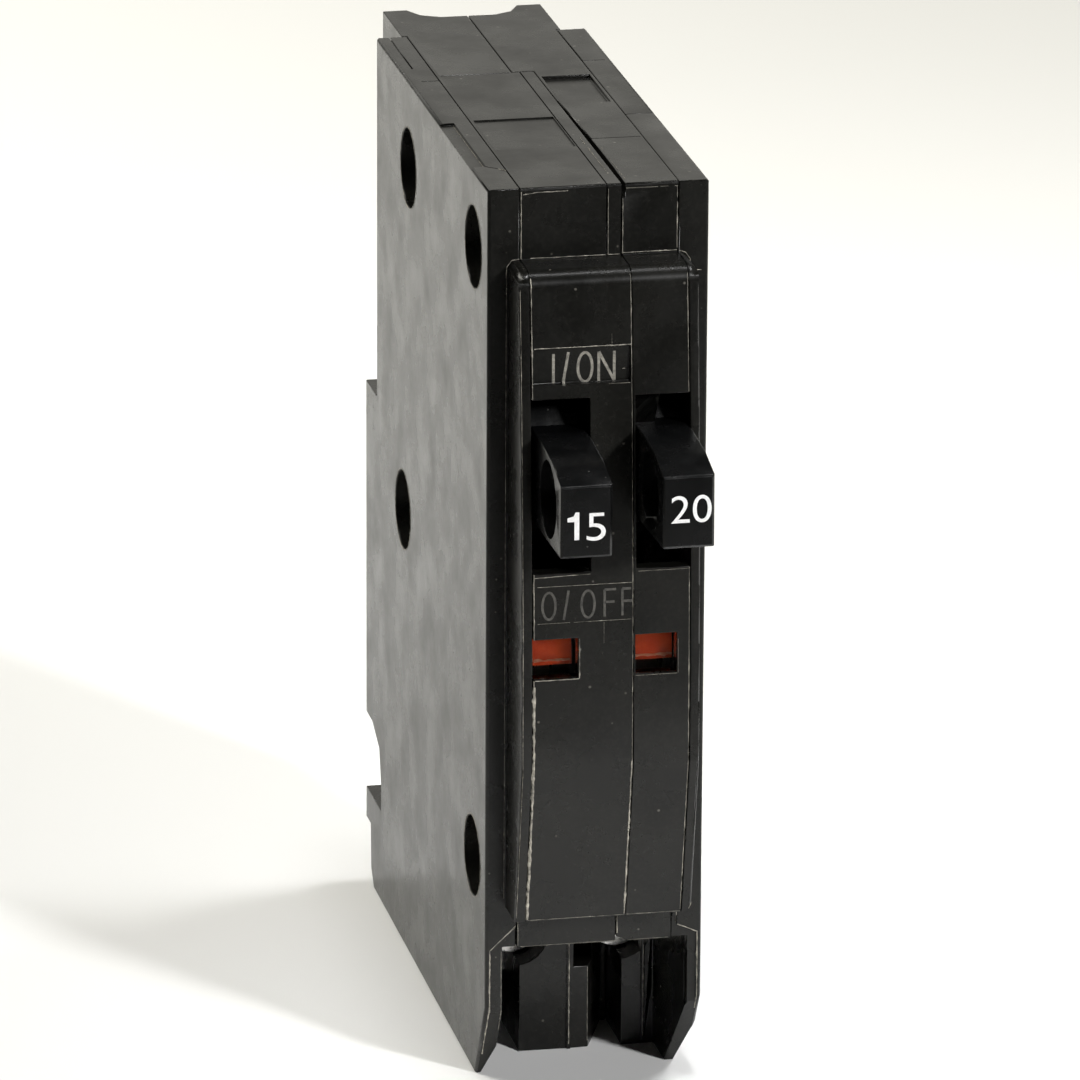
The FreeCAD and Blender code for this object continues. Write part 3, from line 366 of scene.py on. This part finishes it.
def make_studio():
    make_floor()
    world = bpy.data.worlds.new("studio")
    world.use_nodes = True
    nodes, links = world.node_tree.nodes, world.node_tree.links
    way = nodes.new("ShaderNodeTexCoord").outputs["Generated"]
    split = nodes.new("ShaderNodeSeparateXYZ")
    links.new(way, split.inputs["Vector"])
    fade = nodes.new("ShaderNodeMapRange")
    fade.interpolation_type = "SMOOTHSTEP"
    fade.inputs["From Min"].default_value = 0.70
    fade.inputs["From Max"].default_value = 0.95
    fade.inputs["To Min"].default_value = WORLD_FRONT
    fade.inputs["To Max"].default_value = WORLD_BACK
    links.new(split.outputs["Y"], fade.inputs["Value"])
    back = nodes["Background"]
    back.inputs["Color"].default_value = (*WARM_WHITE, 1.0)
    links.new(fade.outputs["Result"], back.inputs["Strength"])
    bpy.context.scene.world = world
    bpy.context.scene.view_settings.view_transform = "Standard"
    for light in SOFTBOXES:
        softbox(*light)


# ---------------------------------------------------------------- meshes

WELD = 0.001 * MM
FLAT_ANGLE = math.radians(0.6)
SHARP_ANGLE = math.radians(28)


def as_object(name, mesh, body, material):
    piece = bpy.data.objects.new(name, mesh)
    bpy.context.scene.collection.objects.link(piece)
    mesh.materials.clear()
    mesh.materials.append(material)
    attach(piece, body)
    return piece


def face_width(face):
    """The width of a long face, or a little less than that of a square one."""
    return 2 * face.calc_area() / face.calc_perimeter()


def finished_copy(node, name, body, material, edge):
    """A copy of a CAD node, standing for it, with sharp edges rounded to `edge` metres."""
    mesh = NODES[node].data.copy()
    mesh.name = name
    work = bmesh.new()
    work.from_mesh(mesh)
    bmesh.ops.remove_doubles(work, verts=work.verts, dist=WELD)
    bmesh.ops.dissolve_limit(work, angle_limit=FLAT_ANGLE, verts=work.verts, edges=work.edges)
    sharp = [
        e
        for e in work.edges
        if len(e.link_faces) == 2
        and e.calc_face_angle(0.0) > SHARP_ANGLE
        and min(face_width(f) for f in e.link_faces) > 2.4 * edge
    ]
    bmesh.ops.bevel(
        work,
        geom=sharp,
        offset=edge,
        offset_type="WIDTH",
        segments=2,
        profile=0.5,
        affect="EDGES",
        clamp_overlap=False,
    )
    work.to_mesh(mesh)
    work.free()
    piece = as_object(name, mesh, body, material)
    mesh.shade_smooth()
    mesh.set_sharp_from_angle(angle=math.radians(35))
    weighted = piece.modifiers.new("even_normals", "WEIGHTED_NORMAL")
    weighted.keep_sharp = True
    weighted.weight = 100
    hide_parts(node)
    return piece


def surface_of(names):
    """A ray target made of the named CAD nodes."""
    points, faces = [], []
    for name in names:
        mesh = NODES[name].data
        start = len(points)
        points += [v.co.copy() for v in mesh.vertices]
        faces += [[start + i for i in p.vertices] for p in mesh.polygons]
    return BVHTree.FromPolygons(points, faces)


FAR = 0.2
VIEWS = {
    "front": lambda u, v: (Vector((u, -FAR, v)), Vector((0, 1, 0))),
    "top": lambda u, v: (Vector((u, v, FAR)), Vector((0, 0, -1))),
    "left": lambda u, v: (Vector((-FAR, u, v)), Vector((1, 0, 0))),
    "right": lambda u, v: (Vector((FAR, u, v)), Vector((-1, 0, 0))),
}


def cast(target, side, u, v):
    """Where a side view's sight line, in millimetres, meets the target, and the normal."""
    start, way = VIEWS[side](u * MM, v * MM)
    place, normal, _face, _far = target.ray_cast(start, way)
    if place is None:
        return None
    return place, (normal if normal.dot(way) < 0 else -normal)


def spaced(corners, step):
    """Points along a polyline, about `step` apart, with its corners."""
    points = []
    for (u0, v0), (u1, v1) in zip(corners, corners[1:]):
        count = max(1, round(math.hypot(u1 - u0, v1 - v0) / step))
        points += [(u0 + (u1 - u0) * i / count, v0 + (v1 - v0) * i / count) for i in range(count)]
    return points + [corners[-1]]


def laid_strip(work, run, section):
    """A closed strip along `run`, a list of (place, normal, half width on one side, on the other).
    `section` lists (share of half width, height above the surface) round its outline."""
    if len(run) < 2:
        return
    rings = []
    for i, (place, normal, near, far) in enumerate(run):
        ahead = run[min(i + 1, len(run) - 1)][0] - run[max(i - 1, 0)][0]
        across = normal.cross(ahead).normalized()
        halves = [near if share < 0 else far for share, _height in section]
        ring = []
        for half, (share, height) in zip(halves, section):
            ring.append(work.verts.new(place + across * half * share + normal * height))
        rings.append(ring)
    size = len(section)
    for low, high in zip(rings, rings[1:]):
        for i in range(size):
            j = (i + 1) % size
            work.faces.new((low[i], high[i], high[j], low[j]))
    work.faces.new(rings[0])
    work.faces.new(rings[-1][::-1])


def mesh_piece(work, name, body, material):
    bmesh.ops.recalc_face_normals(work, faces=work.faces)
    mesh = bpy.data.meshes.new(name)
    work.to_mesh(mesh)
    work.free()
    return as_object(name, mesh, body, material)


FLASH_STEP = 0.11
FLASH_HEIGHT = 0.035 * MM
FLASH_ROOT = -0.03 * MM
JUMP = 0.35 * MM


def flash_and_highlight_line(
    name, target, side, corners, width, cover, seed, body="case", material=None
):
    """An uneven pale ridge along a line drawn in a side view, in millimetres: moulding flash, and
    painted highlights on some edges and on the flags.
    `width` is its usual half width, and `cover` the share of the line that has any."""
    work = bmesh.new()
    drift = Vector((seed * 7.3, seed * 3.1, 0.0))
    section = [(-1.0, FLASH_ROOT), (-0.35, FLASH_HEIGHT), (0.35, FLASH_HEIGHT), (1.0, FLASH_ROOT)]
    gap = (1.0 - cover) * 0.75
    run = []

    def swing(along, pace, row):
        """Smooth noise from 0 to 1 along the line."""
        return 0.5 + 0.5 * noise.noise(drift + Vector((along * pace, row, 0.5 * row)))

    for k, (u, v) in enumerate(spaced(corners, FLASH_STEP)):
        along = k * FLASH_STEP
        amount = 0.45 * swing(along, 0.35, 0.0) + 0.55 * swing(along, 1.9, 9.0)
        found = cast(target, side, u, v)
        apart = bool(found and run) and (found[0] - run[-1][0]).length > JUMP
        if found is None or amount < gap or apart:
            laid_strip(work, run, section)
            run = []
            if found is None or amount < gap:
                continue
        base = width * (0.30 + 1.1 * (amount - gap))
        near = base * (0.45 + 1.1 * swing(along, 3.1, 21.0) ** 2) * MM
        far = base * (0.45 + 1.1 * swing(along, 2.7, 33.0) ** 2) * MM
        run.append((found[0], found[1], near, far))
    laid_strip(work, run, section)
    if not work.faces:
        raise ValueError(name + " has nothing to lie on")
    return mesh_piece(work, name, body, material or FLASH_AND_HIGHLIGHT)


# ---------------------------------------------------------------- lettering


def arc(cx, cy, rx, ry, start, end, count=14):
    """Points on an ellipse from one angle to another, in degrees."""
    turns = [math.radians(start + (end - start) * i / count) for i in range(count + 1)]
    return [(cx + rx * math.cos(t), cy + ry * math.sin(t)) for t in turns]


def narrow_oval(width):
    return [arc(width / 2, 0.5, width / 2, 0.5, 90, 450, 28)]


GLYPHS = {
    "I": [[(0.0, 0.0), (0.0, 1.0)]],
    "/": [[(0.0, -0.04), (0.18, 1.04)]],
    "O": narrow_oval(0.48),
    "N": [[(0.0, 0.0), (0.0, 1.0)], [(0.0, 1.0), (0.52, 0.0)], [(0.52, 0.0), (0.52, 1.0)]],
    "F": [[(0.0, 0.0), (0.0, 1.0)], [(0.0, 1.0), (0.42, 1.0)], [(0.0, 0.54), (0.36, 0.54)]],
}


def lettering(name, target, marks, height, stroke, body, material, limit=99.0):
    """Thin raised lettering on a front surface. `marks` lists (glyph, left, bottom) in millimetres.
    Nothing is drawn to the right of `limit`."""
    work = bmesh.new()
    half = stroke / 2 * MM
    top = 0.03 * MM
    section = [(-1.0, FLASH_ROOT), (-1.0, top), (1.0, top), (1.0, FLASH_ROOT)]
    for glyph, left, bottom in marks:
        for line in GLYPHS[glyph]:
            run = []
            placed = [(left + u * height, bottom + v * height) for u, v in line]
            for u, v in spaced(placed, 0.25):
                found = cast(target, "front", u, v)
                if found and u < limit:
                    run.append((found[0], found[1], half, half))
            laid_strip(work, run, section)
    return mesh_piece(work, name, body, material)


DIGIT_WEIGHT = -0.004
INK_HEIGHT = 0.03 * MM


ONE = [
    (0.59, 0.0),
    (1.0, 0.0),
    (1.0, 1.0),
    (0.68, 1.0),
    (0.52, 0.86),
    (0.0, 0.80),
    (0.0, 0.66),
    (0.59, 0.66),
]


def digit_one(corner, size):
    """The outline of a 1 with a flag, in millimetres on the front view."""
    return [(corner[0] + u * size[0], corner[1] + v * size[1]) for u, v in ONE]


def printed_outline(name, target, outline, body, material):
    """A flat printed shape with the given outline on a front surface."""
    work = bmesh.new()
    rings = []
    for height in (INK_HEIGHT, -INK_HEIGHT):
        found = [cast(target, "front", u, v) for u, v in outline]
        rings.append([work.verts.new(place + normal * height) for place, normal in found])
    top, root = rings
    for i in range(len(top)):
        j = (i + 1) % len(top)
        work.faces.new((top[i], root[i], root[j], top[j]))
    caps = [work.faces.new(top), work.faces.new(root[::-1])]
    work.normal_update()
    bmesh.ops.triangulate(work, faces=caps)
    return mesh_piece(work, name, body, material)


def printed_number(name, text, target, corner, size, body, slot, material):
    """Plain digits printed on a front surface. `corner` is their left and bottom, `size` their
    width and height, in millimetres."""
    curve = bpy.data.curves.new(name, "FONT")
    curve.body = text
    curve.extrude = 0.5
    curve.offset = DIGIT_WEIGHT
    holder = bpy.data.objects.new(name + "_curve", curve)
    mesh = bpy.data.meshes.new_from_object(holder)
    bpy.data.objects.remove(holder)
    across = [v.co.x for v in mesh.vertices]
    up = [v.co.y for v in mesh.vertices]
    wide, high = max(across) - min(across), max(up) - min(up)
    for vertex in mesh.vertices:
        u = corner[0] + (vertex.co.x - min(across)) / wide * size[0]
        v = corner[1] + (vertex.co.y - min(up)) / high * size[1]
        place, normal = cast(target, "front", u, v)
        vertex.co = place + normal * math.copysign(INK_HEIGHT, vertex.co.z)
    work = bmesh.new()
    work.from_mesh(mesh)
    bmesh.ops.remove_doubles(work, verts=work.verts, dist=WELD)
    bpy.data.meshes.remove(mesh)
    return mesh_piece(work, name, body, material)


# ---------------------------------------------------------------- building


def dress_cad_nodes():
    """Each carried-over CAD node takes the finish of its own slot."""
    for node in NODES.values():
        for slot in node.material_slots:
            wanted = slot.material.name.split(".")[0] if slot.material else ""
            slot.material = FINISHES.get(wanted, FINISHES["steel"])


make_camera()
make_studio()
FINISHES = make_finishes()
FLASH_AND_HIGHLIGHT = flash_plastic()
dress_cad_nodes()

CASE_EDGE = 0.12 * MM
HANDLE_EDGE = 0.16 * MM
for shell in SHELLS:
    finished_copy(shell, shell + "_finished", "case", FINISHES["case"], CASE_EDGE)
for pole in POLES:
    handle = "handle_" + pole
    finished_copy(handle, handle + "_finished", handle, FINISHES["handle"], HANDLE_EDGE)

# ---------------------------------------------------------------- wear, painted highlights and lettering

CASE_FACE = surface_of(SHELLS)
FRONT_LINES = {
    # on the face above the nose
    "seam_left_top": ([(-6.50, 78.7), (-6.50, 72.98)], 0.10, 0.85),
    "line_a_top": ([(0.80, 78.6), (0.80, 73.05)], 0.06, 0.97),
    "seam_middle_top": ([(2.02, 77.7), (2.02, 73.05)], 0.09, 0.75),
    "seam_right_top": ([(6.60, 78.6), (6.60, 73.3)], 0.09, 0.70),
    # the rounded top edge: partly real wear, partly a painted highlight along it
    "edge_a_top": ([(-6.3, 78.45), (-5.2, 78.6), (-2.6, 78.62)], 0.08, 0.90),
    "edge_b_top": ([(2.3, 78.6), (6.6, 78.6)], 0.05, 0.60),
    "notch_right": ([(8.3, 71.3), (8.7, 71.3)], 0.05, 1.0),
    # round the nose's root
    "root_top_a": ([(-5.7, 73.0), (1.8, 73.0)], 0.06, 0.92),
    "root_top_b": (
        [(2.0, 73.1), (6.7, 73.1), (7.35, 72.85), (7.72, 72.3), (7.74, 71.4)],
        0.06,
        0.98,
    ),
    "root_left": ([(-6.65, 73.0), (-7.3, 72.9), (-7.7, 72.35), (-7.74, 71.4)], 0.06, 0.98),
    # painted edge highlights where the nose's sides meet the flange
    "root_left_side_highlight": ([(-7.72, 71.4), (-7.72, 17.2)], 0.045, 0.72),
    "root_right_side_highlight": ([(7.70, 71.4), (7.70, 17.6), (7.3, 16.6)], 0.045, 0.80),
    # on the nose
    # painted edge highlight down the nose's front-left edge
    "edge_left": ([(-7.40, 71.6), (-7.40, 16.8)], 0.045, 0.70),
    "seam_left": ([(-6.50, 72.4), (-6.50, 37.9)], 0.10, 0.78),
    "seam_left_low": ([(-6.48, 37.9), (-6.48, 16.6)], 0.20, 1.0),
    "seam_middle": ([(1.83, 72.4), (1.83, 31.0)], 0.07, 0.68),
    "seam_middle_low": ([(1.80, 31.0), (1.80, 16.6)], 0.13, 0.95),
    "seam_right": ([(6.60, 72.3), (6.60, 16.7)], 0.07, 0.75),
    "on_box_top": ([(-6.3, 66.62), (1.75, 66.62)], 0.075, 0.95),
    "on_box_tick": ([(0.2, 66.7), (0.2, 67.6)], 0.035, 0.70),
    "on_box_foot": ([(-0.4, 63.42), (1.7, 63.42)], 0.03, 0.50),
    "on_box_dot": ([(1.15, 64.5), (1.35, 64.5)], 0.10, 1.0),
    "slot_a_foot": ([(-6.4, 47.3), (-1.75, 47.42)], 0.06, 0.88),
    "slot_b_foot": ([(2.3, 47.42), (6.6, 47.42)], 0.035, 0.70),
    "off_box_top": ([(-6.2, 46.5), (1.75, 46.5)], 0.04, 0.80),
    "off_box_foot": ([(-6.2, 43.35), (1.7, 43.35)], 0.03, 0.62),
    "off_box_tick": ([(-0.6, 43.2), (-0.6, 41.4)], 0.03, 0.60),
    "window_a_side": ([(-2.66, 41.9), (-2.66, 38.5)], 0.07, 0.92),
    "window_a_foot": ([(-6.4, 38.44), (-2.68, 38.44)], 0.08, 1.0),
    "window_b_side": ([(5.68, 41.4), (5.68, 38.5)], 0.04, 0.65),
    "window_b_foot": ([(2.1, 38.44), (5.6, 38.44)], 0.04, 0.75),
    "nose_foot_a": ([(-6.4, 16.52), (1.8, 16.52)], 0.04, 0.75),
    "nose_foot_b": ([(2.0, 16.52), (6.6, 16.52)], 0.035, 0.65),
    # below the nose and down the prongs
    "seam_left_lip": ([(-6.50, 16.2), (-6.50, 12.95)], 0.05, 0.95),
    "seam_middle_lip": ([(2.02, 15.9), (2.02, 13.5)], 0.07, 0.95),
    "prong_left": ([(-6.6, 14.8), (-8.92, 12.6), (-8.92, 2.2)], 0.10, 1.0),
    "prong_left_inner": ([(-7.86, 12.4), (-7.86, 5.0)], 0.06, 0.72),
    "prong_right": ([(7.12, 16.1), (7.12, 14.0), (8.93, 13.18), (8.95, 6.0)], 0.07, 1.0),
    "lip_edge": ([(-6.3, 12.84), (6.4, 12.84)], 0.04, 0.60),
    "ridge_a": ([(-0.3, 12.3), (-0.3, 0.5)], 0.08, 1.0),
    "edge_block_a": ([(1.36, 7.3), (1.36, 0.6)], 0.045, 0.85),
    "ridge_b": ([(6.15, 9.1), (6.15, 0.8)], 0.05, 0.75),
}
TOP_LINES = {
    "strip_left_cover": ([(-8.16, -1.0), (-8.16, -14.4), (-6.6, -16.05)], 0.05, 0.75),
    "joint_a": ([(1.42, -18.5), (1.42, -6.0)], 0.05, 0.45),
    "joint_b": ([(2.45, -20.5), (2.55, -10.5)], 0.05, 0.40),
}
HOLE_RIM = 3.56
FRONT_FACE = -21.6
RIVET_PLACES = [(34.8, 71.4), (6.05, 72.5), (37.2, 40.0), (5.75, 19.2)]

for seed, (name, (corners, width, cover)) in enumerate(FRONT_LINES.items(), start=1):
    flash_and_highlight_line("flash_" + name, CASE_FACE, "front", corners, width, cover, seed)
for seed, (name, (corners, width, cover)) in enumerate(TOP_LINES.items(), start=61):
    flash_and_highlight_line("flash_" + name, CASE_FACE, "top", corners, width, cover, seed)
for side, first_seed in (("left", 71), ("right", 81)):
    for number, (depth, height) in enumerate(RIVET_PLACES):
        rim = arc(FRONT_FACE + depth, height, HOLE_RIM, HOLE_RIM, 90, 450, 60)
        name = "flash_hole_%s_%d" % (side, number + 1)
        flash_and_highlight_line(name, CASE_FACE, side, rim, 0.07, 0.62, first_seed + number)

# A pale strip along each flag's lower edge: a painted highlight of the light its curved lower part
# catches.
FLAG_HIGHLIGHT_HEIGHT = 39.52
flag_band_highlight = rubbed_flag()
for pole, seed in (("a", 91), ("b", 92)):
    flag = "trip_flag_" + pole
    (left, _front, _low), (right, _back, _high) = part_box(flag)
    line = [(left / MM + 0.05, FLAG_HIGHLIGHT_HEIGHT), (right / MM - 0.05, FLAG_HIGHLIGHT_HEIGHT)]
    name = "flag_edge_" + pole
    flash_and_highlight_line(name, surface_of([flag]), "front", line, 0.22, 1.0, seed, flag, flag_band_highlight)

bold, faint = worn_letter("worn_letter", 0.9), worn_letter("faint_letter", 0.2)
on_letters = [("I", -4.65, 63.55), ("/", -3.85, 63.55), ("O", -2.6, 63.55), ("N", -0.85, 63.55)]
off_letters = [("F", -0.55, 43.7), ("F", 0.95, 43.7)]
off_rings = [("O", -5.8, 43.7), ("/", -4.0, 43.7), ("O", -2.5, 43.7)]
lettering("on_mark", CASE_FACE, on_letters, 2.5, 0.23, "case", bold)
lettering("off_mark", CASE_FACE, off_rings, 2.3, 0.20, "case", faint)
lettering("off_mark_end", CASE_FACE, off_letters, 2.3, 0.20, "case", faint, limit=1.84)
ink = white_ink()
HANDLE_A_FACE = surface_of(["handle_a"])
one = digit_one((-5.70, 53.55), (0.98, 2.35))
printed_outline("number_15_one", HANDLE_A_FACE, one, "handle_a", ink)
five = ((-4.10, 53.42), (1.58, 2.35))
printed_number("number_15_five", "5", HANDLE_A_FACE, *five, "handle_a", "handle", ink)
HANDLE_B_FACE = surface_of(["handle_b"])
twenty = ((2.92, 54.47), (3.36, 2.32))
printed_number("number_20", "20", HANDLE_B_FACE, *twenty, "handle_b", "handle", ink)
